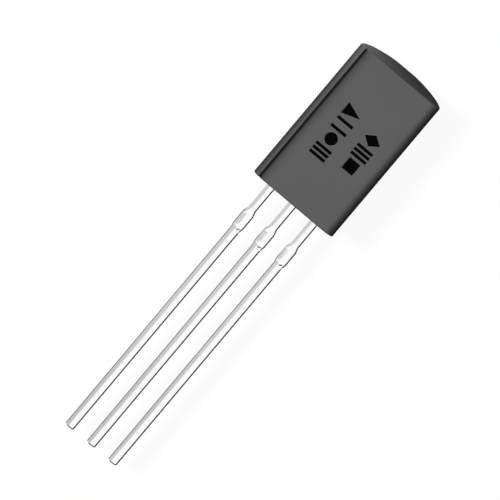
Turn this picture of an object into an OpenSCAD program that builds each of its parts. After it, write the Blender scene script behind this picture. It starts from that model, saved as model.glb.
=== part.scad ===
// Three-lead plastic transistor, long-body TO-92 outline, in millimetres.
// The part lies on its rounded back: the flat marked face looks up (+Z), the body's axis runs
// along Y with the plain end at +Y, and the three leads point along -Y. The origin is at the
// middle of the part's box in X and Y, on the surface that the back rests on.

/* [Body] */
// Width of the moulded body
body_width = 4.63; // [4.4:0.01:5.2]
// Length of the moulded body along its axis
body_length = 7.67; // [6.5:0.01:8.5]
// Depth of the moulded body, from its flat face to its rounded back
body_depth = 3.4; // [3.3:0.01:3.6]
// Radius of the two rounded edges beside the flat face
edge_radius = 0.5; // [0.3:0.01:0.6]
// Radius of the body's gently curved flanks, behind the rounded edges
flank_radius = 4.3; // [4.2:0.05:5]
// Height trimmed off the arc of the back, which leaves the narrow flat land that it lies on
back_land_cut = 0.08; // [0.04:0.01:0.12]
// Distance from the body's left side to the middle of the fine crease beside the flat face
crease_inset = 0.35; // [0.3:0.01:0.5]
// Width of the fine crease
crease_width = 0.18; // [0.1:0.01:0.2]
// Depth of the fine crease below the flat face
crease_depth = 0.12; // [0.09:0.01:0.15]

/* [Leads] */
// Distance between the centre lines of two neighbouring leads
lead_pitch = 1.27; // [1.1:0.01:1.4]
// Distance that the leads stand out of the body
lead_length = 14.62; // [12:0.01:16]
// Thickness of the lead metal
lead_thickness = 0.45; // [0.38:0.01:0.5]
// Distance from the flat face to the middle of the leads
lead_plane_depth = 1.5; // [1.3:0.01:1.6]
// Width of a lead between the body and its tie bar stub
neck_width = 0.43; // [0.4:0.01:0.5]
// Width of a lead from its tie bar stub to its tip
leg_width = 0.49; // [0.45:0.01:0.58]
// Width of a lead at its tie bar stub
stub_width = 0.59; // [0.55:0.01:0.8]
// Distance from the body to the start of the tie bar stub
stub_start = 1.52; // [1.2:0.01:2.2]
// Length of the stub's slope on the body's side
stub_upper_slope = 0.3; // [0.2:0.01:0.4]
// Length of the stub at its full width
stub_land = 0.69; // [0.5:0.01:0.9]
// Length of the stub's slope on the tip's side
stub_lower_slope = 0.2; // [0.15:0.01:0.4]
// Radius of the two corners at each lead's tip
tip_radius = 0.1; // [0.05:0.01:0.15]

/* [Inside] */
// Width of the bonding heads on the two outer leads
head_width = 0.8; // [0.7:0.01:0.95]
// Length of the bonding heads on the two outer leads
head_length = 1.0; // [0.8:0.01:1.2]
// Depth inside the body at which the bonding heads start
head_start = 2.3; // [2:0.01:2.5]
// Gap along the axis between the bonding heads and the chip's pad
head_to_pad_gap = 0.3; // [0.2:0.01:0.4]
// Width of the chip's pad on the middle lead
pad_width = 2.6; // [2.2:0.01:2.8]
// Length of the chip's pad on the middle lead
pad_length = 2.4; // [2.1:0.01:2.5]
// Size of the cut corners on the chip's pad
pad_corner_cut = 0.4; // [0.2:0.01:0.6]
// Side of the square silicon chip
chip_side = 1.0; // [0.8:0.01:1.2]
// Thickness of the silicon chip
chip_thickness = 0.2; // [0.15:0.01:0.3]
// Thickness of the solder under the chip
solder_thickness = 0.03; // [0.02:0.01:0.05]
// Distance that the solder shows around the chip
solder_margin = 0.06; // [0.03:0.01:0.1]
// Diameter of the bond wires
wire_diameter = 0.05; // [0.04:0.01:0.08]
// Radius of the arch in each bond wire
wire_arch_radius = 1.35; // [1.3:0.01:1.6]
// Diameter of the bonds at a wire's two ends
bond_diameter = 0.14; // [0.12:0.01:0.18]
// Height of the bonds at a wire's two ends
bond_height = 0.04; // [0.03:0.01:0.06]
// Distance from the chip's middle to each of its two bonds, across and along the axis
bond_offset = 0.22; // [0.18:0.01:0.3]

/* [Marking] */
// Thickness of the printed marks, which lie flush with the flat face
mark_thickness = 0.03; // [0.02:0.01:0.05]
// Width of a printed mark across the body
mark_width = 0.88; // [0.7:0.01:1.0]
// Length of a printed mark along the body
mark_length = 0.62; // [0.45:0.01:0.66]
// Distance between the starts of two neighbouring marks in a row
mark_pitch = 0.76; // [0.7:0.01:0.8]
// Distance from the flat face's middle to the middle of the first row
first_row_offset = -0.58; // [-0.7:0.01:-0.5]
// Distance from the flat face's middle to the middle of the second row
second_row_offset = 0.91; // [0.7:0.01:1.1]
// Distance from the body's lead end to the first mark of the first row
first_row_start = 2.4; // [2:0.01:2.8]
// Distance from the body's lead end to the first mark of the second row
second_row_start = 2.78; // [2.4:0.01:3]
// Width of one bar in the marks that are made of bars
mark_bar = 0.15; // [0.1:0.01:0.18]

/* [Hidden] */

round_steps = 96;
small_round_steps = 32;
overshoot = 1;
// The cavities of pieces that touch reach this far into each other, so that they join.
cavity_overlap = 0.01;

// The body's lead end lies at body_start, so that the whole part is centred on the origin.
total_length = body_length + lead_length;
body_start = total_length / 2 - body_length;
half_width = body_width / 2;

// Each flank arc has its centre level with the flat face, and runs smoothly into the rounded edge
// at flank_top. The back is one arc that runs smoothly into both flanks at blend_height.
edge_centre = half_width - edge_radius;
edge_height = body_depth - edge_radius;
flank_top = body_depth - flank_radius * edge_radius / (flank_radius - edge_radius);
flank_centre = sqrt(pow(flank_radius - edge_radius, 2) - pow(edge_radius, 2)) - edge_centre;
arc_height = body_depth + back_land_cut;
back_radius = (pow(flank_radius, 2) - pow(flank_centre, 2) - pow(arc_height, 2))
              / (2 * flank_radius - 2 * arc_height);
back_centre = back_radius - back_land_cut;
back_to_flank = back_centre - body_depth;
blend_height = back_centre + back_radius * back_to_flank / norm([flank_centre, back_to_flank]);
crease_centre = crease_inset - half_width;

// Heights and places of the pieces inside the body.
lead_height = body_depth - lead_plane_depth;
lead_face = lead_height + lead_thickness / 2;
stub_full = stub_start + stub_upper_slope;
stub_end = stub_full + stub_land;
leg_start = stub_end + stub_lower_slope;
head_middle = head_start + head_length / 2;
pad_start = head_start + head_length + head_to_pad_gap;
chip_middle = pad_start + pad_length / 2;
chip_seat = lead_face + solder_thickness;
chip_face = chip_seat + chip_thickness;

// A bond wire's two ends lie on the chip and on a bonding head, and its arch passes through both.
wire_across = lead_pitch - bond_offset;
wire_along = chip_middle - bond_offset - head_middle;
wire_drop = chip_face - lead_face;
wire_run = norm([wire_across, wire_along]);
wire_chord = norm([wire_run, wire_drop]);
wire_half_angle = asin(wire_chord / 2 / wire_arch_radius);
wire_slope = atan2(wire_drop, wire_run);

module along_body(length) {
    translate([0, body_start, 0])
        rotate([90, 0, 0]) mirror([0, 0, 1]) linear_extrude(length) children();
}

module flank_disc(side) {
    translate([-side * flank_centre, body_depth]) circle(flank_radius, $fn = round_steps);
}

module band(low, high) {
    translate([-body_width, low]) square([2 * body_width, high - low]);
}

module flank_section() {
    intersection() {
        flank_disc(1);
        flank_disc(-1);
        band(blend_height, flank_top);
    }
}

module back_section() {
    intersection() {
        translate([0, back_centre]) circle(back_radius, $fn = round_steps);
        band(0, flank_top);
    }
}

module body_block() {
    along_body(body_length) flank_section();
    along_body(body_length) back_section();
    along_body(body_length)
        translate([-edge_centre, edge_height - edge_radius])
            square([2 * edge_centre, 2 * edge_radius]);
    for (side = [-1, 1])
        along_body(body_length)
            translate([side * edge_centre, edge_height])
                circle(edge_radius, $fn = round_steps);
}

module crease_section() {
    polygon([
        [crease_centre - crease_width / 2, body_depth + crease_depth],
        [crease_centre - crease_width / 2, body_depth],
        [crease_centre, body_depth - crease_depth],
        [crease_centre + crease_width / 2, body_depth],
        [crease_centre + crease_width / 2, body_depth + crease_depth]
    ]);
}

module lead_plate() {
    translate([0, body_start, lead_height - lead_thickness / 2])
        linear_extrude(lead_thickness) children();
}

module lead_leg(inner_length) {
    half_neck = neck_width / 2;
    half_leg = leg_width / 2;
    half_stub = stub_width / 2;
    straight_tip = lead_length - tip_radius;
    lead_plate() polygon([
        [-half_neck, inner_length], [half_neck, inner_length],
        [half_neck, -stub_start], [half_stub, -stub_full], [half_stub, -stub_end],
        [half_leg, -leg_start], [half_leg, -straight_tip],
        [half_leg - tip_radius, -straight_tip], [half_leg - tip_radius, -lead_length],
        [tip_radius - half_leg, -lead_length], [tip_radius - half_leg, -straight_tip],
        [-half_leg, -straight_tip], [-half_leg, -leg_start],
        [-half_stub, -stub_end], [-half_stub, -stub_full], [-half_neck, -stub_start]
    ]);
    for (side = [-1, 1])
        lead_plate() translate([side * (half_leg - tip_radius), -straight_tip])
            circle(tip_radius, $fn = small_round_steps);
}

module outer_lead(side) {
    translate([side * lead_pitch, 0, 0]) {
        lead_leg(head_start + head_length);
        lead_plate() translate([-head_width / 2, head_start]) square([head_width, head_length]);
    }
}

module pad_outline() {
    half_pad = pad_width / 2;
    translate([0, pad_start]) polygon([
        [-half_pad, pad_corner_cut], [pad_corner_cut - half_pad, 0],
        [half_pad - pad_corner_cut, 0], [half_pad, pad_corner_cut],
        [half_pad, pad_length - pad_corner_cut], [half_pad - pad_corner_cut, pad_length],
        [pad_corner_cut - half_pad, pad_length], [-half_pad, pad_length - pad_corner_cut]
    ]);
}

module chip_plate(side_length, height, thickness, sink) {
    translate([-side_length / 2, body_start + chip_middle - side_length / 2, height - sink])
        cube([side_length, side_length, thickness + sink]);
}

module bond(sink) {
    translate([0, 0, -sink])
        cylinder(d = bond_diameter, h = bond_height + sink, $fn = small_round_steps);
}

module wire_arch() {
    rotate([0, wire_slope, 0])
        translate([wire_chord / 2, 0, -wire_arch_radius * cos(wire_half_angle)])
            rotate([90, 0, 0]) rotate([0, 0, 90 - wire_half_angle])
                rotate_extrude(angle = 2 * wire_half_angle, $fn = round_steps)
                    translate([wire_arch_radius, 0])
                        circle(d = wire_diameter, $fn = small_round_steps);
}

module bond_wire(side, sink) {
    translate([side * bond_offset, body_start + chip_middle - bond_offset, chip_face]) {
        bond(sink);
        rotate([0, 0, atan2(-wire_along, side * wire_across)])
            translate([0, 0, wire_diameter / 2]) wire_arch();
    }
    translate([side * lead_pitch, body_start + head_middle, lead_face]) bond(sink);
}

// The marks are plain shapes: bars, a disc, a triangle, a square and a diamond.
module bar_mark(bars) {
    spacing = (mark_length - mark_bar) / (bars - 1);
    for (bar = [0 : bars - 1])
        translate([-mark_width / 2, bar * spacing]) square([mark_width, mark_bar]);
}

module disc_mark() {
    translate([0, mark_length / 2]) circle(d = mark_length, $fn = small_round_steps);
}

module triangle_mark() {
    polygon([[-mark_width / 2, 0], [mark_width / 2, mark_length / 2], [-mark_width / 2, mark_length]]);
}

module square_mark() {
    translate([-mark_length / 2, 0]) square(mark_length);
}

module diamond_mark() {
    polygon([
        [0, 0], [mark_width / 2, mark_length / 2], [0, mark_length], [-mark_width / 2, mark_length / 2]
    ]);
}

module mark_outlines() {
    translate([first_row_offset, first_row_start]) {
        bar_mark(3);
        translate([0, mark_pitch]) disc_mark();
        translate([0, 2 * mark_pitch]) bar_mark(2);
        translate([0, 3 * mark_pitch]) triangle_mark();
    }
    translate([second_row_offset, second_row_start]) {
        square_mark();
        translate([0, mark_pitch]) bar_mark(3);
        translate([0, 2 * mark_pitch]) diamond_mark();
    }
}

module body() {
    color([0.37, 0.37, 0.37]) difference() {
        body_block();
        translate([0, -overshoot, 0]) along_body(body_length + 2 * overshoot) crease_section();
        marking();
        emitter_lead();
        collector_lead();
        base_lead();
        transistor_chip(cavity_overlap);
        die_attach(cavity_overlap);
        emitter_bond_wire(cavity_overlap);
        base_bond_wire(cavity_overlap);
    }
}

module marking() {
    color([0.05, 0.05, 0.05])
        translate([0, body_start, body_depth - mark_thickness])
            linear_extrude(mark_thickness) mark_outlines();
}

module emitter_lead() {
    color([0.86, 0.86, 0.88]) outer_lead(-1);
}

module collector_lead() {
    color([0.86, 0.86, 0.88]) {
        lead_leg(pad_start + pad_length / 2);
        lead_plate() pad_outline();
    }
}

module base_lead() {
    color([0.86, 0.86, 0.88]) outer_lead(1);
}

module transistor_chip(sink = 0) {
    color([0.3, 0.32, 0.38]) chip_plate(chip_side, chip_seat, chip_thickness, sink);
}

module die_attach(sink = 0) {
    color([0.6, 0.6, 0.62])
        chip_plate(chip_side + 2 * solder_margin, lead_face, solder_thickness, sink);
}

module emitter_bond_wire(sink = 0) {
    color([0.9, 0.72, 0.25]) bond_wire(-1, sink);
}

module base_bond_wire(sink = 0) {
    color([0.9, 0.72, 0.25]) bond_wire(1, sink);
}

body();
marking();
emitter_lead();
collector_lead();
base_lead();
transistor_chip();
die_attach();
emitter_bond_wire();
base_bond_wire();
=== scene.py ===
# Dresses and lights the long-bodied plastic transistor. All sizes are in millimetres until they
# reach Blender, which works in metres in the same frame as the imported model.
import logging
import math
from dataclasses import dataclass, field
from enum import Enum
from typing import Any, Callable

import bmesh
import bpy
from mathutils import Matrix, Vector


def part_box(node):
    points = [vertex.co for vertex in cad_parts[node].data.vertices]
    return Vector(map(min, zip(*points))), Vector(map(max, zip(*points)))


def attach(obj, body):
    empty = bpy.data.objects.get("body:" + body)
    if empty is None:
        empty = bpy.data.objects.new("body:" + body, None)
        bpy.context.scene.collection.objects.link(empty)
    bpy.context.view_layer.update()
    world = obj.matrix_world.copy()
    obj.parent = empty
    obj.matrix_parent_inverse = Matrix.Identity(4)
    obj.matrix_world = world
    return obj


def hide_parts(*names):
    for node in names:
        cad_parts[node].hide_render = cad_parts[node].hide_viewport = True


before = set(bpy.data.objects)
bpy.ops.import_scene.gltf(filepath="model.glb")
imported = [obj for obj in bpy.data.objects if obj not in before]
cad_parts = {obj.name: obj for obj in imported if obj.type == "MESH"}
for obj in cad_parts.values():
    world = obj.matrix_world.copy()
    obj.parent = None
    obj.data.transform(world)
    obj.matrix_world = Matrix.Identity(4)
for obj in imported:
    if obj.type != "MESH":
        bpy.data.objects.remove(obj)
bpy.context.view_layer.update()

MM = 0.001
BODY = "root"
LOG = logging.getLogger("transistor")
# Places closer than this, in millimetres, count as one place.
NEAR = 1e-3
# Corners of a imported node, and cuts through a piece, are told apart down to this, in millimetres.
FINEST = 1e-4
# Faces whose angle is below this, in degrees, are made one flat face.
FLAT = 0.5
# An edge is sharp when the angle between its faces is above this, in degrees.
SHARP = 60.0
# A face looks along an axis when its normal's share along that axis is above this.
FACING = 0.9


class Value:
    """One number in a material's nodes, on which arithmetic adds Math nodes."""

    def __init__(self, bench: "NodeBench", socket: Any) -> None:
        """Keeps the socket that carries the number and the bench that owns its nodes.

        Args:
            bench: The bench that adds the nodes.
            socket: The output socket that carries the number.
        """
        self.bench = bench
        self.socket = socket

    def _math(self, operation: str, left: Any, right: Any = None) -> "Value":
        """Adds one Math node.

        Args:
            operation: The Math node's operation.
            left: The first operand, a Value or a number.
            right: The second operand, where the operation has one.

        Returns:
            The node's result.
        """
        operands = {0: left} if right is None else {0: left, 1: right}
        node = self.bench.add("ShaderNodeMath", {"operation": operation}, operands)
        return Value(self.bench, node.outputs[0])

    def __add__(self, other: Any) -> "Value":
        """Adds another value or number."""
        return self._math("ADD", self, other)

    __radd__ = __add__

    def __sub__(self, other: Any) -> "Value":
        """Subtracts another value or number."""
        return self._math("SUBTRACT", self, other)

    def __rsub__(self, other: Any) -> "Value":
        """Subtracts this value from a number."""
        return self._math("SUBTRACT", other, self)

    def __mul__(self, other: Any) -> "Value":
        """Multiplies by another value or number."""
        return self._math("MULTIPLY", self, other)

    __rmul__ = __mul__

    def __truediv__(self, other: Any) -> "Value":
        """Divides by another value or number."""
        return self._math("DIVIDE", self, other)

    def absolute(self) -> "Value":
        """Gives the value without its sign."""
        return self._math("ABSOLUTE", self)

    def largest(self, other: Any) -> "Value":
        """Gives the larger of this value and another."""
        return self._math("MAXIMUM", self, other)

    def smallest(self, other: Any) -> "Value":
        """Gives the smaller of this value and another."""
        return self._math("MINIMUM", self, other)

    def power(self, exponent: float) -> "Value":
        """Raises the value to a power."""
        return self._math("POWER", self, exponent)

    def between(self, low: float, high: float) -> "Value":
        """Rises smoothly from 0 at low to 1 at high.

        Args:
            low: The value at which the result is 0.
            high: The value at which the result is 1.

        Returns:
            The smoothed share.
        """
        node = self.bench.add(
            "ShaderNodeMapRange",
            {"interpolation_type": "SMOOTHSTEP"},
            {"Value": self, "From Min": low, "From Max": high},
        )
        return Value(self.bench, node.outputs["Result"])


class NodeBench:
    """A node tree, with one method that adds any node."""

    def __init__(self, tree: Any) -> None:
        """Empties the tree.

        Args:
            tree: The node tree of a material or of the surroundings.
        """
        self.tree = tree
        self.tree.nodes.clear()

    def add(self, kind: str, settings: dict[str, Any], inputs: dict[Any, Any]) -> Any:
        """Adds one node, sets it up and feeds its sockets.

        Args:
            kind: The node's type.
            settings: Attributes of the node.
            inputs: Values, numbers, colours or sockets by the input's name or index.

        Returns:
            The new node.
        """
        node = self.tree.nodes.new(kind)
        for name, setting in settings.items():
            setattr(node, name, setting)
        for name, given in inputs.items():
            source = given.socket if isinstance(given, Value) else given
            if isinstance(source, bpy.types.NodeSocket):
                self.tree.links.new(source, node.inputs[name])
            else:
                node.inputs[name].default_value = source
        return node

    def shown(self) -> "Value":
        """Tells what the camera, a mirror or glass looks at from where light is gathered.

        Returns:
            1 for the first three and 0 for the last.
        """
        rays = self.add("ShaderNodeLightPath", {}, {})
        seen = Value(self, rays.outputs["Is Camera Ray"])
        for kind in ("Is Glossy Ray", "Is Transmission Ray"):
            seen = seen.largest(Value(self, rays.outputs[kind]))
        return seen


class MaterialBench(NodeBench):
    """A material's node tree, with the patterns that the finishes share."""

    def __init__(self, name: str) -> None:
        """Starts an empty material.

        Args:
            name: The material's name.
        """
        self.material = bpy.data.materials.new(name)
        self.material.use_nodes = True
        super().__init__(self.material.node_tree)

    def glow(self, colour: Any) -> bpy.types.Material:
        """Finishes the material as a plain glow, which no lamp changes.

        Args:
            colour: The glow's colour, as numbers or a socket.

        Returns:
            The finished material.
        """
        return self.finish(self.add("ShaderNodeEmission", {}, {"Color": colour, "Strength": 1.0}))

    def position(self) -> tuple["Value", "Value", "Value", Any]:
        """Reads the point on the piece.

        Returns:
            Its X, Y and Z in millimetres, and the point itself as a socket in metres.
        """
        point = self.add("ShaderNodeTexCoord", {}, {}).outputs["Object"]
        split = self.add("ShaderNodeSeparateXYZ", {}, {"Vector": point})
        x, y, z = (Value(self, split.outputs[axis]) / MM for axis in "XYZ")
        return x, y, z, point

    def noise(self, point: Any, grain: float, detail: float = 3.0) -> "Value":
        """Adds a noise pattern.

        Args:
            point: The socket that carries the point, in metres.
            grain: The size of the pattern's grains in millimetres.
            detail: How many finer layers the pattern has.

        Returns:
            The pattern, which varies around 0.5.
        """
        node = self.add(
            "ShaderNodeTexNoise", {}, {"Vector": point, "Scale": 1 / (grain * MM), "Detail": detail}
        )
        return Value(self, node.outputs["Fac"])

    def stretched(self, point: Any, scale: tuple[float, float, float]) -> Any:
        """Scales a point, so that a pattern on it is drawn out.

        Args:
            point: The socket that carries the point.
            scale: The factor along each axis.

        Returns:
            The scaled point's socket.
        """
        node = self.add("ShaderNodeMapping", {}, {"Vector": point, "Scale": scale})
        return node.outputs["Vector"]

    def mixed(self, share: Any, first: Any, second: Any) -> Any:
        """Mixes two colours.

        Args:
            share: How much of the second colour is taken.
            first: The first colour, as numbers or a socket.
            second: The second colour, as numbers or a socket.

        Returns:
            The mixed colour's socket.
        """
        node = self.add("ShaderNodeMix", {"data_type": "RGBA"}, {0: share, 6: first, 7: second})
        return node.outputs[2]

    def bump(self, height: "Value", depth: float, below: Any = None) -> Any:
        """Turns a pattern into small hills.

        Args:
            height: The pattern, from 0 to 1.
            depth: The hills' height in millimetres.
            below: Another bump's normal that this one lies on.

        Returns:
            The normal's socket.
        """
        inputs = {"Height": height, "Distance": depth * MM, "Strength": 1.0}
        if below is not None:
            inputs["Normal"] = below
        return self.add("ShaderNodeBump", {}, inputs).outputs["Normal"]

    def surface(self, inputs: dict[str, Any]) -> bpy.types.Material:
        """Finishes the material as one surface.

        Args:
            inputs: Values, numbers, colours or sockets by the name of the shader's input.

        Returns:
            The finished material.
        """
        return self.finish(self.add("ShaderNodeBsdfPrincipled", {}, inputs))

    def finish(self, shader: Any) -> bpy.types.Material:
        """Feeds the material's output.

        Args:
            shader: The shader node or its output socket.

        Returns:
            The finished material.
        """
        socket = shader if isinstance(shader, bpy.types.NodeSocket) else shader.outputs[0]
        self.add("ShaderNodeOutputMaterial", {}, {"Surface": socket})
        return self.material


def box_of(node: str) -> tuple[Vector, Vector]:
    """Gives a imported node's lowest and highest corners in millimetres."""
    low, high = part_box(node)
    return low / MM, high / MM


def grey(level: float) -> tuple[float, float, float, float]:
    """Gives a neutral colour of that level."""
    return (level, level, level, 1.0)


@dataclass(frozen=True)
class MouldedEpoxy:
    """The body's matt dark grey moulding, with its grain, and painted shade in and beside the
    crease, along its long edges and along the lead end of its flat face.
    """

    colour: float = 0.1145
    mottle: float = 0.08
    cloud: float = 1.6
    grain: float = 0.045
    grain_depth: float = 0.0012
    roughness: float = 0.66
    roughness_swing: float = 0.08
    # Shade painted into the colour: its strength and reach in and beside the crease, left of the
    # crease, along the right edge and along the lead end, and how far it reaches down the rounded
    # edges and towards the plain end.
    crease_shade: float = 0.85
    crease_reach: float = 0.11
    halo_shade: float = 0.69
    halo_reach: float = 0.75
    halo_fall: float = 3.2
    halo_blend: float = 0.02
    left_shade: float = 0.7
    left_start: float = 0.06
    right_shade: float = 0.5
    right_start: float = 0.435
    right_end: float = 0.115
    foot_shade: float = 0.5
    foot_reach: float = 0.07
    shaded_depth: float = 0.65
    shade_fade: float = 0.2
    end_fade: float = 0.05

    def material(self, low: Vector, high: Vector, crease_inset: float) -> bpy.types.Material:
        """Builds the finish, with the shade painted into its colour.

        Args:
            low: The body's lowest corner in millimetres.
            high: The body's highest corner in millimetres.
            crease_inset: How far the crease lies inside the body's left side, in millimetres.

        Returns:
            The material.
        """
        bench = MaterialBench("moulded_epoxy")
        x, y, z, point = bench.position()
        cloud = bench.noise(point, self.cloud, detail=4.0)
        fleck = bench.noise(point, self.grain, detail=2.0)
        tone = 1.0 + self.mottle * (cloud - 0.5) + self.mottle * (fleck - 0.5)
        # Painted shade: masks that darken the colour in and beside the crease, towards the left and
        # right edges and along the lead end, on the flat face and its rounded edges only, fading out
        # at the plain end.
        aside = x - (low.x + crease_inset)
        shade_end = high.z - self.shaded_depth
        on_flat = z.between(shade_end, shade_end + self.shade_fade)
        on_flat = on_flat * (1.0 - y.between(high.y - self.end_fade, high.y))
        crease = 1.0 - (aside.absolute() / self.crease_reach).smallest(1.0)
        halo = (1.0 - (aside / self.halo_reach).smallest(1.0)).power(self.halo_fall)
        halo = halo * aside.between(-self.halo_blend, self.halo_blend)
        left = (low.x + crease_inset - self.left_start - x) / (crease_inset - self.left_start)
        left = left.largest(0.0).smallest(1.0)
        right = x.between(high.x - self.right_start, high.x - self.right_end)
        foot = 1.0 - y.between(low.y, low.y + self.foot_reach)
        # The share of the colour that the painted shade leaves.
        light = (1.0 - self.crease_shade * crease) * (1.0 - self.halo_shade * halo)
        light = light * (1.0 - self.left_shade * left) * (1.0 - self.right_shade * right)
        light = light * (1.0 - self.foot_shade * foot)
        shade = 1.0 - on_flat * (1.0 - light)
        # The grain's tone, darkened by the painted shade.
        colour = bench.mixed(tone * shade, grey(0.0), grey(self.colour))
        skin = bench.bump(fleck, self.grain_depth)
        return bench.surface(
            {
                "Base Color": colour,
                "Roughness": self.roughness + self.roughness_swing * (cloud - 0.5),
                "Specular IOR Level": 0.0,
                "Normal": skin,
            }
        )


@dataclass(frozen=True)
class PrintInk:
    """The matt black ink of the printed marks."""

    colour: float = 0.0012
    worn_colour: float = 0.0024
    roughness: float = 0.7
    roughness_swing: float = 0.1
    gloss: float = 0.008
    grain: float = 0.05
    grain_depth: float = 0.0008

    def material(self) -> bpy.types.Material:
        """Builds the finish.

        Returns:
            The material.
        """
        bench = MaterialBench("print_ink")
        _, _, _, point = bench.position()
        fleck = bench.noise(point, self.grain)
        return bench.surface(
            {
                "Base Color": bench.mixed(fleck, grey(self.colour), grey(self.worn_colour)),
                "Roughness": self.roughness + self.roughness_swing * (fleck - 0.5),
                "Specular IOR Level": self.gloss,
                "Normal": bench.bump(fleck, self.grain_depth),
            }
        )


@dataclass(frozen=True)
class DrawnMetal:
    """A metal finish with fine lines drawn along the piece and a soft bloom on it."""

    name: str
    colour: tuple[float, float, float]
    dull_colour: tuple[float, float, float]
    roughness: float
    bloom: float = 0.35
    bloom_start: float = 0.4
    bloom_end: float = 0.75
    bloom_swing: float = 0.1
    line_width: float = 0.02
    line_squeeze: float = 0.02
    line_depth: float = 0.0004
    line_swing: float = 0.06

    def material(self) -> bpy.types.Material:
        """Builds the finish.

        Returns:
            The material.
        """
        bench = MaterialBench(self.name)
        _, _, _, point = bench.position()
        drawn = bench.stretched(point, (1.0, self.line_squeeze, 1.0))
        lines = bench.noise(drawn, self.line_width, detail=2.0)
        bloom = bench.noise(point, self.bloom, detail=4.0)
        dull = bloom.between(self.bloom_start, self.bloom_end)
        colour = bench.mixed(dull, (*self.colour, 1.0), (*self.dull_colour, 1.0))
        uneven = self.bloom_swing * (bloom - 0.5) + self.line_swing * (lines - 0.5)
        return bench.surface(
            {
                "Base Color": colour,
                "Metallic": 1.0,
                "Roughness": self.roughness + uneven,
                "Normal": bench.bump(lines, self.line_depth),
            }
        )


@dataclass(frozen=True)
class PolishedSilicon:
    """The chip's polished face with its two metal contact fields."""

    colour: tuple[float, float, float] = (0.06, 0.07, 0.1)
    contact_colour: tuple[float, float, float] = (0.6, 0.6, 0.62)
    contact_width: float = 0.16
    contact_offset: float = 0.22
    contact_edge: float = 0.01
    grain: float = 0.05
    roughness: float = 0.15
    roughness_swing: float = 0.1

    def material(self, chip_middle: float) -> bpy.types.Material:
        """Builds the finish.

        Args:
            chip_middle: The chip's middle along the body, as Y in millimetres.

        Returns:
            The material.
        """
        bench = MaterialBench("polished_silicon")
        x, y, _, point = bench.position()
        across = (x.absolute() - self.contact_offset).absolute()
        along = (y - (chip_middle - self.contact_offset)).absolute()
        rim = self.contact_width / 2
        contact = 1.0 - across.largest(along).between(rim, rim + self.contact_edge)
        fleck = bench.noise(point, self.grain, detail=2.0)
        colour = bench.mixed(contact, (*self.colour, 1.0), (*self.contact_colour, 1.0))
        return bench.surface(
            {
                "Base Color": colour,
                "Metallic": contact,
                "Roughness": self.roughness + self.roughness_swing * fleck,
            }
        )


@dataclass(frozen=True)
class StudioPaper:
    """The floor: white to the eye and in reflections, and a little darker in the part's shadow."""

    shown_share: float = 0.94
    bounce: float = 0.18
    pale_bounce: float = 0.189
    tooth: float = 0.4

    def material(self) -> bpy.types.Material:
        """Builds the finish.

        Returns:
            The material.
        """
        bench = MaterialBench("studio_paper")
        _, _, _, point = bench.position()
        tooth = bench.noise(point, self.tooth)
        glow = bench.add("ShaderNodeEmission", {}, {"Color": grey(1.0), "Strength": 1.0})
        paper = bench.add("ShaderNodeBsdfDiffuse", {}, {"Color": grey(1.0)})
        dim_colour = bench.mixed(tooth, grey(self.bounce), grey(self.pale_bounce))
        dim = bench.add("ShaderNodeBsdfDiffuse", {}, {"Color": dim_colour})
        white = bench.add(
            "ShaderNodeMixShader",
            {},
            {0: self.shown_share, 1: paper.outputs[0], 2: glow.outputs[0]},
        )
        shader = bench.add(
            "ShaderNodeMixShader", {}, {0: bench.shown(), 1: dim.outputs[0], 2: white.outputs[0]}
        )
        return bench.finish(shader)


class Side(Enum):
    """A side, seen on the flat face with the leads pointing down."""

    LEFT = -1
    MIDDLE = 0
    RIGHT = 1


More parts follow.
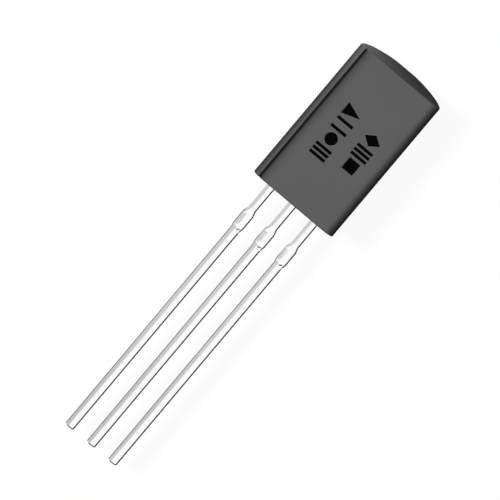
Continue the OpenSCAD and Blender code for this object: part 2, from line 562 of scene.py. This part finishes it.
class Workpiece:
    """One mesh that is shaped with Blender's operators, as on a bench."""

    def __init__(self, piece: bpy.types.Object) -> None:
        """Opens a piece in edit mode.

        Args:
            piece: The piece, whose object sits at the origin.
        """
        self.piece = piece
        bpy.ops.object.select_all(action="DESELECT")
        piece.select_set(True)
        bpy.context.view_layer.objects.active = piece
        bpy.ops.object.mode_set(mode="EDIT")

    @classmethod
    def block(cls, name: str, low: Vector, high: Vector) -> "Workpiece":
        """Adds a block.

        Args:
            name: The piece's name.
            low: The block's lowest corner in millimetres.
            high: The block's highest corner in millimetres.

        Returns:
            The block, open in edit mode.
        """
        bpy.ops.object.select_all(action="DESELECT")
        bpy.ops.mesh.primitive_cube_add(
            size=1.0, location=(low + high) / 2 * MM, scale=(high - low) * MM
        )
        piece = bpy.context.object
        piece.name = name
        piece.data.name = name
        bpy.ops.object.transform_apply(location=True, rotation=True, scale=True)
        return cls(piece)

    @classmethod
    def copy_of(cls, node: str, name: str) -> "Workpiece":
        """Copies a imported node, with its loose triangles merged and its flat faces made whole.

        Args:
            node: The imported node.
            name: The new piece's name.

        Returns:
            The copy, open in edit mode.
        """
        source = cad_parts[node]
        piece = bpy.data.objects.new(name, source.data.copy())
        piece.data.name = name
        bpy.context.scene.collection.objects.link(piece)
        copy = cls(piece)
        bpy.ops.mesh.select_mode(type="VERT")
        bpy.ops.mesh.select_all(action="SELECT")
        bpy.ops.mesh.remove_doubles(threshold=FINEST * MM)
        bpy.ops.mesh.customdata_custom_splitnormals_clear()
        bpy.ops.mesh.dissolve_limited(angle_limit=math.radians(FLAT))
        return copy

    def _pick(self, kind: str, parts: str, test: Callable[[Any], bool]) -> None:
        """Selects parts of the mesh.

        Args:
            kind: The selection mode.
            parts: The name of the mesh's sequence of such parts.
            test: Says of a part whether it is taken.
        """
        bpy.ops.mesh.select_mode(type=kind)
        bpy.ops.mesh.select_all(action="DESELECT")
        shape = bmesh.from_edit_mesh(self.piece.data)
        for part in getattr(shape, parts):
            if test(part):
                part.select_set(True)
        bmesh.update_edit_mesh(self.piece.data)

    def pick_faces(self, test: Callable[[Vector, Vector], bool]) -> None:
        """Selects faces.

        Args:
            test: Says of a face's middle, in millimetres, and its normal whether it is taken.
        """
        self._pick("FACE", "faces", lambda face: test(face.calc_center_median() / MM, face.normal))

    def pick_edges(self, test: Callable[[Vector, Vector, float], bool]) -> None:
        """Selects edges.

        Args:
            test: Says of an edge's two ends, in millimetres, and the angle between its faces,
                in degrees, whether the edge is taken.
        """
        self._pick(
            "EDGE",
            "edges",
            lambda edge: test(
                edge.verts[0].co / MM, edge.verts[1].co / MM, math.degrees(edge.calc_face_angle(0.0))
            ),
        )

    def pick_corners(self, test: Callable[[Vector], bool]) -> None:
        """Selects corners.

        Args:
            test: Says of a corner's place, in millimetres, whether it is taken.
        """
        self._pick("VERT", "verts", lambda corner: test(corner.co / MM))

    def draw_out(self, length: float, width_factor: float, centre: Vector) -> None:
        """Extrudes the picked end face along the body and sets its width.

        Args:
            length: How far the face moves, in millimetres.
            width_factor: The new width as a share of the old one.
            centre: The point about which the width changes, in millimetres.
        """
        bpy.ops.mesh.extrude_region_move(TRANSFORM_OT_translate={"value": (0.0, length * MM, 0.0)})
        if width_factor != 1.0:
            bpy.ops.transform.resize(value=(width_factor, 1.0, 1.0), center_override=centre * MM)

    def bevel(self, width: float, segments: int) -> None:
        """Bevels the picked edges.

        Args:
            width: The bevel's width in millimetres.
            segments: The bevel's number of steps.
        """
        bpy.ops.mesh.bevel(offset=width * MM, segments=segments, profile=0.5, clamp_overlap=True)

    def move(self, way: Vector) -> None:
        """Moves what is picked.

        Args:
            way: How far, in millimetres.
        """
        bpy.ops.transform.translate(value=way * MM)

    def split(self, place: Vector, normal: Vector, cut_off: bool = False) -> None:
        """Cuts the whole mesh along a plane.

        Args:
            place: A point on the plane in millimetres.
            normal: The plane's normal.
            cut_off: Whether what lies on the normal's side is removed and the cut is closed.
        """
        bpy.ops.mesh.select_all(action="SELECT")
        bpy.ops.mesh.bisect(
            plane_co=place * MM,
            plane_no=normal.normalized(),
            clear_outer=cut_off,
            use_fill=cut_off,
            threshold=FINEST * MM,
        )

    def turn(self, degrees: float, axis: str, centre: Vector) -> None:
        """Turns what is picked.

        Args:
            degrees: The angle, positive from X to Y about Z and from Z to X about Y.
            axis: The axis that the turn is about, Y or Z.
            centre: The point that stays, in millimetres.
        """
        bpy.ops.transform.rotate(
            value=-math.radians(degrees), orient_axis=axis, center_override=centre * MM
        )

    def done(self, smooth_angle: float) -> bpy.types.Object:
        """Merges doubles, turns the faces outwards, leaves edit mode and smooths the piece.

        Args:
            smooth_angle: The largest angle between faces that is smoothed over, in degrees.

        Returns:
            The piece.
        """
        bpy.ops.mesh.select_all(action="SELECT")
        bpy.ops.mesh.remove_doubles(threshold=NEAR * MM)
        bpy.ops.mesh.normals_make_consistent(inside=False)
        bpy.ops.object.mode_set(mode="OBJECT")
        bpy.ops.object.shade_smooth_by_angle(angle=math.radians(smooth_angle))
        return self.piece


def combine(piece: bpy.types.Object, tool: bpy.types.Object, operation: str) -> None:
    """Adds a second solid to a piece, or cuts it away, and removes the second object.

    Args:
        piece: The piece that stays.
        tool: The solid that is added or cut away.
        operation: UNION to add it, DIFFERENCE to cut it away.
    """
    bpy.ops.object.select_all(action="DESELECT")
    piece.select_set(True)
    bpy.context.view_layer.objects.active = piece
    change = piece.modifiers.new("combined", "BOOLEAN")
    change.operation = operation
    change.solver = "EXACT"
    change.use_self = True
    change.object = tool
    bpy.ops.object.modifier_apply(modifier=change.name)
    bpy.data.objects.remove(tool)


def dress(piece: bpy.types.Object, material: bpy.types.Material) -> None:
    """Gives a piece one material all over."""
    piece.data.materials.clear()
    piece.data.materials.append(material)


def settle(piece: bpy.types.Object, node: str, material: bpy.types.Material) -> None:
    """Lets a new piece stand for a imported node.

    Args:
        piece: The new piece.
        node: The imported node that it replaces.
        material: The piece's finish.
    """
    dress(piece, material)
    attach(piece, BODY)
    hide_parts(node)
    LOG.info("%s stands for %s", piece.name, node)


@dataclass
class MouldedBody:
    """The epoxy body and the marks printed on its flat face."""

    crease_inset: float = 0.35
    rim_round: float = 0.05
    rim_steps: int = 3
    smooth_angle: float = 35.0
    finish: MouldedEpoxy = field(default_factory=MouldedEpoxy)
    ink: PrintInk = field(default_factory=PrintInk)

    def build(self) -> None:
        """Builds the moulding and dresses its print."""
        low, high = box_of("body")
        epoxy = self.finish.material(low, high, self.crease_inset)
        settle(self._moulding(low, high), "body", epoxy)
        dress(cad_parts["marking"], self.ink.material())
        LOG.info("marking dressed")

    def _moulding(self, low: Vector, high: Vector) -> bpy.types.Object:
        """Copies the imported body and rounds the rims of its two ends.

        Args:
            low: The body's lowest corner in millimetres.
            high: The body's highest corner in millimetres.

        Returns:
            The moulding.
        """
        lead_low, lead_high = box_of("base_lead")
        body = Workpiece.copy_of("body", "body_moulding")

        def by_leads(corner: Vector) -> bool:
            """Says whether a corner is as near to the middle and as high as the leads are."""
            return abs(corner.x) < lead_high.x and lead_low.z - NEAR < corner.z < lead_high.z + NEAR

        def on_rim(a: Vector, b: Vector, angle: float) -> bool:
            """Says whether an edge lies on the outline of an end face.

            Args:
                a: One end of the edge in millimetres.
                b: The other end in millimetres.
                angle: The angle between the edge's faces in degrees.

            Returns:
                Whether it lies there, and isn't the rim of a hole that a lead comes out of.
            """
            flush = abs(a.y - b.y) < NEAR and min(abs(a.y - low.y), abs(a.y - high.y)) < NEAR
            return flush and angle > SHARP and not (by_leads(a) and by_leads(b))

        body.pick_edges(on_rim)
        body.bevel(self.rim_round, self.rim_steps)
        return body.done(self.smooth_angle)


@dataclass
class LeadShape:
    """One lead's sizes in millimetres, and the share of the lower slope that the point takes."""

    leg_width: float = 0.49
    stub_width: float = 0.59
    neck_width: float = 0.43
    stub_start: float = 1.52
    upper_slope: float = 0.3
    stub_land: float = 0.69
    lower_slope: float = 0.2
    point_share: float = 0.75
    tip_radius: float = 0.1
    shoulder: float = 0.05
    head_length: float = 1.0
    pad_length: float = 2.4
    pad_corner_cut: float = 0.4

    def stub_top(self) -> float:
        """Gives where the stub starts on the body's side, as Y."""
        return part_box("body")[0].y / MM - self.stub_start

    def land_end(self) -> float:
        """Gives where the stub's full width ends on the tip's side, as Y."""
        return self.stub_top() - self.upper_slope - self.stub_land

    def point(self) -> float:
        """Gives where the stub's swaged face ends in its point, as Y."""
        return self.land_end() - self.point_share * self.lower_slope


@dataclass
class Lead:
    """One tinned lead, drawn out of flat strip, with the stub of its tie bar.

    Its sizes are in millimetres and its angles in degrees.
    """

    node: str
    side: Side
    shape: LeadShape = field(default_factory=LeadShape)
    tip_steps: int = 5
    round_steps: int = 3
    crown_offset: float = 0.04
    crown_angle: float = 12.0
    crown_blend: float = 0.06
    chamfer: float = 0.056
    rim_reach: float = 0.084
    rim_top: float = 0.015
    rim_slack: float = 0.002
    left_spread: float = 0.026
    neck_spread: float = 0.052
    left_lift: float = 0.037
    right_spread: float = 0.008
    right_lift: float = 0.015
    under_round: float = 0.035
    swage_height: float = 0.012
    swage_reach: float = 0.03
    swage_crest: float = 0.18
    swage_crest_drop: float = 0.26
    swage_arc: float = 0.06
    swage_blend: float = 0.12
    swage_rim: float = 0.05
    swage_rim_lift: float = 0.03
    dent_length: float = 0.16
    dent_wall: float = 0.085
    dent_run: float = 0.2
    dent_depth: float = 0.043
    dent_place: tuple[float, float] = (0.107, -0.011)
    smooth_angle: float = 20.0
    low: Vector = field(init=False)
    high: Vector = field(init=False)
    middle: Vector = field(init=False)
    neck_end: float = field(init=False)
    strip: Workpiece = field(init=False)

    def __post_init__(self) -> None:
        """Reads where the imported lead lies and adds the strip, which is only the leg at first."""
        shape = self.shape
        self.low, self.high = box_of(self.node)
        self.middle = (self.low + self.high) / 2
        inner_length = shape.pad_length if self.side is Side.MIDDLE else shape.head_length
        self.neck_end = self.high.y - inner_length
        half_leg = shape.leg_width / 2
        leg_end = shape.land_end() - shape.lower_slope
        self.strip = Workpiece.block(
            self.node + "_tinned",
            Vector((self.middle.x - half_leg, self.low.y, self.low.z)),
            Vector((self.middle.x + half_leg, leg_end, self.high.z)),
        )

    def build(self, tin: bpy.types.Material) -> None:
        """Makes the lead as the tools do, one step after the other.

        Args:
            tin: The lead's finish.
        """
        self._draw_out()
        self._crown_strip()
        self._chamfer_rim()
        self._shape_chamfer()
        self._round_underside()
        lead = self.strip.done(self.smooth_angle)
        combine(lead, self._swage(), "UNION")
        combine(lead, self._dent(), "DIFFERENCE")
        settle(Workpiece(lead).done(self.smooth_angle), self.node, tin)

    def _draw_out(self) -> None:
        """Draws the leg out into the stub, the neck and the inner end, and rounds the tip."""
        shape, strip, middle, tip = self.shape, self.strip, self.middle, self.low.y
        inner_width = self.high.x - self.low.x
        inner_length = self.high.y - self.neck_end
        strip.pick_faces(lambda spot, normal: normal.y > FACING)
        strip.draw_out(shape.lower_slope, shape.stub_width / shape.leg_width, middle)
        strip.draw_out(shape.stub_land, 1.0, middle)
        strip.draw_out(shape.upper_slope, shape.neck_width / shape.stub_width, middle)
        strip.draw_out(self.neck_end - shape.stub_top(), 1.0, middle)
        strip.draw_out(shape.shoulder, inner_width / shape.neck_width, middle)
        strip.draw_out(inner_length - shape.shoulder, 1.0, middle)
        if self.side is Side.MIDDLE:
            self._cut_pad_corners(inner_width / 2)
        strip.pick_edges(
            lambda a, b, angle: max(abs(a.y - tip), abs(b.y - tip), abs(a.x - b.x)) < NEAR
        )
        strip.bevel(shape.tip_radius, self.tip_steps)

    def _cut_pad_corners(self, half_width: float) -> None:
        """Cuts the four corners of the chip's pad.

        Args:
            half_width: Half the pad's width in millimetres.
        """
        pad_start, pad_end = self.neck_end + self.shape.shoulder, self.high.y
        self.strip.pick_edges(
            lambda a, b, angle: max(abs(a.x - b.x), abs(a.y - b.y)) < NEAR
            and abs(abs(a.x) - half_width) < NEAR
            and min(abs(a.y - pad_end), abs(a.y - pad_start)) < NEAR
        )
        self.strip.bevel(self.shape.pad_corner_cut, 1)

    def _ridge(self, top: float) -> Vector:
        """Gives a point on the crown's ridge in an upper face of that height."""
        return Vector((self.middle.x - self.crown_offset, self.middle.y, top))

    def _crown_strip(self) -> None:
        """Rolls the left part of the strip's upper face from the tip to the end of the neck."""
        ridge = self._ridge(self.high.z)
        self.strip.split(ridge, Vector((1.0, 0.0, 0.0)))
        self._roll_left(self.strip, ridge, self.low.y, self.neck_end)

    def _roll_left(self, piece: Workpiece, ridge: Vector, start: float, end: float) -> None:
        """Turns the left part of an upper face down, as the punch rolls it over.

        Args:
            piece: The strip, or the solid of the stub's swaged face, split along the ridge.
            ridge: A point on the ridge in millimetres.
            start: Where the rolled part starts on the tip's side, as Y in millimetres.
            end: Where it ends on the body's side, as Y in millimetres.
        """
        left_end = self.middle.x - self.shape.stub_width / 2
        piece.pick_corners(
            lambda spot: abs(spot.z - ridge.z) < NEAR
            and left_end - NEAR < spot.x < ridge.x - NEAR
            and start - NEAR < spot.y < end + NEAR
        )
        piece.turn(-self.crown_angle, "Y", ridge)
        piece.pick_edges(
            lambda a, b, angle: max(abs(a.x - ridge.x), abs(b.x - ridge.x)) < NEAR
            and min(a.z, b.z) > ridge.z - NEAR
            and min(a.y, b.y) > start - NEAR
            and max(a.y, b.y) < end + NEAR
        )
        piece.bevel(self.crown_blend, self.round_steps)

    def _outside(self, a: Vector, b: Vector) -> bool:
        """Says whether an edge belongs to the neck, the stub or the leg.

        Args:
            a: One end of the edge in millimetres.
            b: The other end in millimetres.

        Returns:
            Whether it lies outside the head or the pad.
        """
        reach = self.shape.stub_width / 2 + NEAR
        near = max(abs(a.x - self.middle.x), abs(b.x - self.middle.x)) < reach
        return near and max(a.y, b.y) < self.neck_end + NEAR and min(a.y, b.y) < self.neck_end - NEAR

    def _crown_fall(self) -> float:
        """Gives the crown's largest fall, with a little room, in millimetres."""
        slope = math.radians(self.crown_angle)
        return self.shape.stub_width / 2 * math.sin(slope) + 5 * self.rim_slack

    def _chamfer_rim(self) -> None:
        """Chamfers the upper outline from the neck round the tip."""
        lowest = self.high.z - self._crown_fall()
        self.strip.pick_edges(
            lambda a, b, angle: self._outside(a, b) and angle > SHARP and min(a.z, b.z) > lowest
        )
        self.strip.bevel(self.chamfer, 1)

    def _shape_chamfer(self) -> None:
        """Gives the chamfer its own width and slope on the left, at the neck and on the right."""
        upper = (self.rim_top, self.chamfer + self.rim_slack)
        lower = (self.chamfer + 2 * self.rim_slack, self._crown_fall() + upper[1])
        right_upper = (-NEAR, NEAR)
        right_lower = (self.chamfer - self.rim_slack, self.chamfer + self.rim_slack)
        slope = math.radians(self.crown_angle)
        down_left = Vector((-math.cos(slope), 0.0, -math.sin(slope)))
        tip, neck_start = self.low.y, self.shape.stub_top()
        for side, depths, start, way in (
            (Side.LEFT, upper, tip, down_left * self.left_spread),
            (Side.LEFT, upper, neck_start, down_left * (self.neck_spread - self.left_spread)),
            (Side.LEFT, lower, tip, Vector((0.0, 0.0, self.left_lift))),
            (Side.RIGHT, right_upper, tip, Vector((-self.right_spread, 0.0, 0.0))),
            (Side.RIGHT, right_lower, tip, Vector((0.0, 0.0, self.right_lift))),
        ):
            self._pick_rim(side, depths, start)
            self.strip.move(way)

    def _pick_rim(self, side: Side, depths: tuple[float, float], start: float) -> None:
        """Selects the chamfer's corners on one side of the strip.

        Args:
            side: The side.
            depths: The least and the greatest depth below the upper face, in millimetres.
            start: Where the corners start on the tip's side, as Y in millimetres.
        """
        reach = self.shape.stub_width / 2 + NEAR
        inner = self.shape.neck_width / 2 - self.rim_reach
        self.strip.pick_corners(
            lambda spot: depths[0] < self.high.z - spot.z < depths[1]
            and inner < side.value * (spot.x - self.middle.x) < reach
            and start - NEAR < spot.y < self.neck_end + NEAR
        )

    def _round_underside(self) -> None:
        """Rounds the lower outline."""
        highest = self.low.z + NEAR
        self.strip.pick_edges(
            lambda a, b, angle: self._outside(a, b) and angle > SHARP and max(a.z, b.z) < highest
        )
        self.strip.bevel(self.under_round, self.round_steps)

    def _swage(self) -> bpy.types.Object:
        """Makes the swaged face of the stub, with an arc towards the body and a point below.

        Returns:
            The solid that is fused to the lead.
        """
        shape, middle = self.shape, self.middle
        top = self.high.z + self.swage_height
        half_width = shape.stub_width / 2 - self.chamfer
        crest = shape.stub_top() + self.swage_reach
        crest_start = crest - self.swage_crest_drop
        swage = Workpiece.block(
            self.node + "_swage",
            Vector((middle.x - half_width, shape.point(), middle.z)),
            Vector((middle.x + half_width, crest, top)),
        )
        for side in (-1.0, 1.0):
            way = Vector((side * (shape.land_end() - shape.point()), -half_width, 0.0))
            swage.split(Vector((middle.x, shape.point(), top)), way, True)
        for side in (-1.0, 1.0):
            way = Vector((side * self.swage_crest_drop, half_width - self.swage_crest / 2, 0.0))
            swage.split(Vector((middle.x + side * half_width, crest_start, top)), way, True)
        swage.pick_edges(
            lambda a, b, angle: max(abs(a.x - b.x), abs(a.y - b.y)) < NEAR
            and a.y > crest_start - NEAR
        )
        swage.bevel(self.swage_arc, self.round_steps)
        self._lower_swage_rim(swage, top)
        self._crown_swage(swage, top, crest_start)
        return swage.done(self.smooth_angle)

    def _lower_swage_rim(self, swage: Workpiece, top: float) -> None:
        """Lets the swaged face fall a little towards its outline.

        Args:
            swage: The swaged face's solid.
            top: Its upper face's height in millimetres.
        """
        swage.pick_edges(lambda a, b, angle: angle > SHARP and min(a.z, b.z) > top - NEAR)
        swage.bevel(self.swage_rim, 1)
        swage.pick_corners(lambda spot: abs(spot.z - top + self.swage_rim) < self.rim_slack)
        swage.move(Vector((0.0, 0.0, self.swage_rim_lift)))

    def _crown_swage(self, swage: Workpiece, top: float, crest_start: float) -> None:
        """Rolls the left part of the swaged face like the strip, short of its arc and its point.

        Args:
            swage: The swaged face's solid.
            top: Its upper face's height in millimetres.
            crest_start: Where the arc towards the body starts, as Y in millimetres.
        """
        upper_blend = crest_start - self.swage_blend
        lower_blend = self.shape.land_end() + self.swage_blend
        rim_fall = self.swage_rim - self.swage_rim_lift
        ridge = self._ridge(top)
        swage.split(ridge, Vector((1.0, 0.0, 0.0)))
        for end in (upper_blend, lower_blend):
            swage.split(Vector((ridge.x, end, top)), Vector((0.0, 1.0, 0.0)))
        swage.pick_corners(
            lambda spot: abs(spot.z - top + rim_fall) < NEAR
            and spot.x < ridge.x
            and lower_blend - NEAR < spot.y < upper_blend + NEAR
        )
        swage.move(Vector((0.0, 0.0, rim_fall)))
        self._roll_left(swage, ridge, lower_blend, upper_blend)

    def _dent(self) -> bpy.types.Object:
        """Makes the small dent that the tool leaves at the right of the swaged face's point.

        Its wall towards the body is steep, and its floor rises gently towards the tip.

        Returns:
            The solid that is cut away from the lead.
        """
        shape = self.shape
        bottom = self.high.z - self.dent_depth
        aside, along = self.dent_place
        centre = Vector((self.middle.x + aside, shape.point() + along, bottom))
        half_length = self.dent_length / 2
        dent = Workpiece.block(
            self.node + "_dent",
            centre - Vector((half_length, self.dent_run, 0.0)),
            centre + Vector((half_length, self.dent_wall, 2.0 * self.dent_depth)),
        )
        dent.split(centre, Vector((0.0, 1.0, 0.0)))
        dent.pick_corners(lambda spot: spot.z < bottom + NEAR and spot.y > centre.y + NEAR)
        dent.move(Vector((0.0, 0.0, self.dent_depth + self.swage_height)))
        dent.pick_corners(lambda spot: spot.z < bottom + NEAR and spot.y < centre.y - NEAR)
        dent.move(Vector((0.0, 0.0, self.dent_depth)))
        bpy.ops.mesh.select_all(action="SELECT")
        half_width = shape.stub_width / 2 - self.chamfer
        arm_angle = math.degrees(math.atan2(shape.land_end() - shape.point(), half_width))
        dent.turn(arm_angle, "Z", centre)
        return dent.done(self.smooth_angle)


@dataclass
class LeadRow:
    """The three tinned leads."""

    finish: DrawnMetal = field(
        default_factory=lambda: DrawnMetal(
            "tin_plate", (0.97, 0.97, 0.97), (0.94, 0.94, 0.945), 0.16
        )
    )

    def build(self) -> None:
        """Builds the leads from left to right."""
        tin = self.finish.material()
        nodes = ("emitter_lead", "collector_lead", "base_lead")
        for node, side in zip(nodes, Side):
            Lead(node, side).build(tin)


@dataclass
class ChipStack:
    """The chip, its solder and its two bond wires, sealed inside the body."""

    silicon: PolishedSilicon = field(default_factory=PolishedSilicon)
    solder: DrawnMetal = field(
        default_factory=lambda: DrawnMetal("solder", (0.55, 0.55, 0.57), (0.45, 0.45, 0.46), 0.45)
    )
    gold: DrawnMetal = field(
        default_factory=lambda: DrawnMetal("gold_wire", (0.95, 0.7, 0.3), (0.85, 0.6, 0.25), 0.2)
    )

    def build(self) -> None:
        """Dresses the sealed pieces."""
        low, high = box_of("transistor_chip")
        dress(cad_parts["transistor_chip"], self.silicon.material((low.y + high.y) / 2))
        dress(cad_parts["die_attach"], self.solder.material())
        gold = self.gold.material()
        for wire in ("emitter_bond_wire", "base_bond_wire"):
            dress(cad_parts[wire], gold)
        LOG.info("chip, solder and bond wires dressed")


@dataclass
class PhotoCamera:
    """The camera, placed from the body's lead end in the picture of 500 by 500 pixels."""

    axis_angle: float = 49.9
    elevation: float = 8.53
    pixels_per_mm: float = 22.06
    image_side: float = 500.0
    lead_end_pixel: tuple[float, float] = (292.1, 205.1)
    lens: float = 1200.0
    sensor: float = 36.0
    clip_start_share: float = 0.1
    clip_end_share: float = 3.0

    def build(self) -> Vector:
        """Adds the camera.

        Returns:
            The point at the picture's middle, in metres.
        """
        tilt = math.radians(self.elevation)
        turn = math.radians(self.axis_angle)
        back = Vector((0.0, math.sin(tilt), math.cos(tilt)))
        along = Vector((0.0, math.cos(tilt), -math.sin(tilt)))
        across = Vector((1.0, 0.0, 0.0))
        right = across * math.sin(turn) + along * math.cos(turn)
        up = along * math.sin(turn) - across * math.cos(turn)
        low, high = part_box("body")
        lead_end = Vector(((low.x + high.x) / 2, low.y, high.z))
        half = self.image_side / 2
        from_middle_right = (self.lead_end_pixel[0] - half) / self.pixels_per_mm * MM
        from_middle_up = (half - self.lead_end_pixel[1]) / self.pixels_per_mm * MM
        middle = lead_end - right * from_middle_right - up * from_middle_up
        shown = self.image_side / self.pixels_per_mm * MM
        distance = shown * self.lens / self.sensor
        data = bpy.data.cameras.new("photo_camera")
        data.lens = self.lens
        data.sensor_width = self.sensor
        data.clip_start = distance * self.clip_start_share
        data.clip_end = distance * self.clip_end_share
        camera = bpy.data.objects.new("photo_camera", data)
        bpy.context.scene.collection.objects.link(camera)
        turned = back.to_track_quat("Z", "Y").to_matrix()
        turned.col[0], turned.col[1], turned.col[2] = right, up, back
        camera.matrix_world = turned.to_4x4()
        camera.location = middle + back * distance
        bpy.context.scene.camera = camera
        LOG.info("camera placed %.0f mm away", distance / MM)
        return middle


@dataclass
class Studio:
    """The white floor, the lamps and the grey cards that the metal edges mirror."""

    floor_side: float = 1600.0
    floor_gap: float = 0.005
    sky_level: float = 0.2
    key_level: float = 2.82
    key_direction: tuple[float, float, float] = (-0.47, 0.0, 0.88)
    key_softness: float = 14.0
    end_lamp_place: tuple[float, float, float] = (-4.5, 13.2, 2.6)
    end_lamp_side: float = 1.5
    end_lamp_power: float = 0.00012
    card_distance: float = 14.0
    slab_thickness: float = 0.5
    card_start: float = -19.5
    card_end: float = 10.0
    card_height: float = 60.0
    right_start: float = -60.0
    dark_height: float = 14.0
    dark_fade: float = 3.0
    dark_level: float = 0.03
    grey_level: float = 0.62
    tip_grey_level: float = 0.5
    tip_card_place: float = -17.0
    tip_card_height: float = 4.5

    def build(self) -> None:
        """Adds the floor, the sky, the lamps and the cards."""
        self._floor()
        self._sky()
        self._key()
        self._end_lamp()
        self._left_card()
        self._right_card()
        self._tip_card()

    def _floor(self) -> None:
        """Adds the floor, a hair below the part, so that no two faces lie in one plane."""
        reach = self.floor_side / 2
        low = Vector((-reach, -reach, -self.floor_gap - self.slab_thickness))
        high = Vector((reach, reach, -self.floor_gap))
        floor = Workpiece.block("floor", low, high).done(0.0)
        dress(floor, StudioPaper().material())

    def _sky(self) -> None:
        """Makes the surroundings: dim as a lamp, white to the eye and in reflections."""
        world = bpy.data.worlds.new("studio")
        world.use_nodes = True
        bench = NodeBench(world.node_tree)
        level = bench.shown() * (1.0 - self.sky_level) + self.sky_level
        sky = bench.add("ShaderNodeBackground", {}, {"Color": grey(1.0), "Strength": level})
        bench.add("ShaderNodeOutputWorld", {}, {"Surface": sky.outputs[0]})
        bpy.context.scene.world = world

    def _key(self) -> None:
        """Adds the wide main lamp, which stands to the left of the flat face."""
        data = bpy.data.lights.new("key_lamp", "SUN")
        data.energy = self.key_level
        data.angle = math.radians(self.key_softness)
        lamp = bpy.data.objects.new("key_lamp", data)
        lamp.rotation_euler = Vector(self.key_direction).to_track_quat("Z", "Y").to_euler()
        lamp.visible_glossy = False
        bpy.context.scene.collection.objects.link(lamp)

    def _end_lamp(self) -> None:
        """Adds the small lamp beside the plain end, whose light falls off across that face."""
        place = Vector(self.end_lamp_place) * MM
        low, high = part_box("body")
        aim = Vector((low.x / 2, high.y, (low.z + high.z) / 2))
        data = bpy.data.lights.new("end_lamp", "AREA")
        data.energy = self.end_lamp_power
        data.size = self.end_lamp_side * MM
        lamp = bpy.data.objects.new("end_lamp", data)
        lamp.location = place
        lamp.rotation_euler = (place - aim).to_track_quat("Z", "Y").to_euler()
        lamp.visible_camera = False
        lamp.visible_glossy = False
        bpy.context.scene.collection.objects.link(lamp)

    def _card(self, low: Vector, high: Vector, material: bpy.types.Material) -> None:
        """Adds an upright card that only shows in reflections.

        Args:
            low: The card's lowest corner in millimetres.
            high: The card's highest corner in millimetres.
            material: The card's finish, which also gives its name.
        """
        card = Workpiece.block(material.name, low, high).done(0.0)
        dress(card, material)
        card.visible_camera = False
        card.visible_diffuse = False
        card.visible_shadow = False
        card.visible_transmission = False

    def _left_card(self) -> None:
        """Adds the left card, pale grey above and dark below."""
        bench = MaterialBench("left_card")
        _, y, z, _ = bench.position()
        above = z.between(self.dark_height, self.dark_height + self.dark_fade)
        by_the_legs = y.between(self.tip_card_place, self.tip_card_place / 2)
        pale = bench.mixed(by_the_legs, grey(self.tip_grey_level), grey(self.grey_level))
        glow = bench.mixed(above, grey(self.dark_level), pale)
        low = Vector((-self.card_distance - self.slab_thickness, self.card_start, 0.0))
        high = Vector((-self.card_distance, self.card_end, self.card_height))
        self._card(low, high, bench.glow(glow))

    def _right_card(self) -> None:
        """Adds the low dark card on the right."""
        low = Vector((self.card_distance, self.right_start, 0.0))
        high = Vector((self.card_distance + self.slab_thickness, self.card_end, self.dark_height))
        self._card(low, high, MaterialBench("right_card").glow(grey(self.dark_level)))

    def _tip_card(self) -> None:
        """Adds the low dark card in front of the lead tips."""
        low = Vector((-self.card_distance, self.tip_card_place - self.slab_thickness, 0.0))
        high = Vector((self.card_distance, self.tip_card_place, self.tip_card_height))
        self._card(low, high, MaterialBench("tip_card").glow(grey(self.dark_level)))


def main() -> None:
    """Builds the camera, the part's pieces and the studio in order."""
    logging.basicConfig(level=logging.INFO, format="%(name)s: %(message)s")
    PhotoCamera().build()
    MouldedBody().build()
    LeadRow().build()
    ChipStack().build()
    Studio().build()
    bpy.context.scene.view_settings.view_transform = "Standard"


if __name__ == "__main__":
    main()
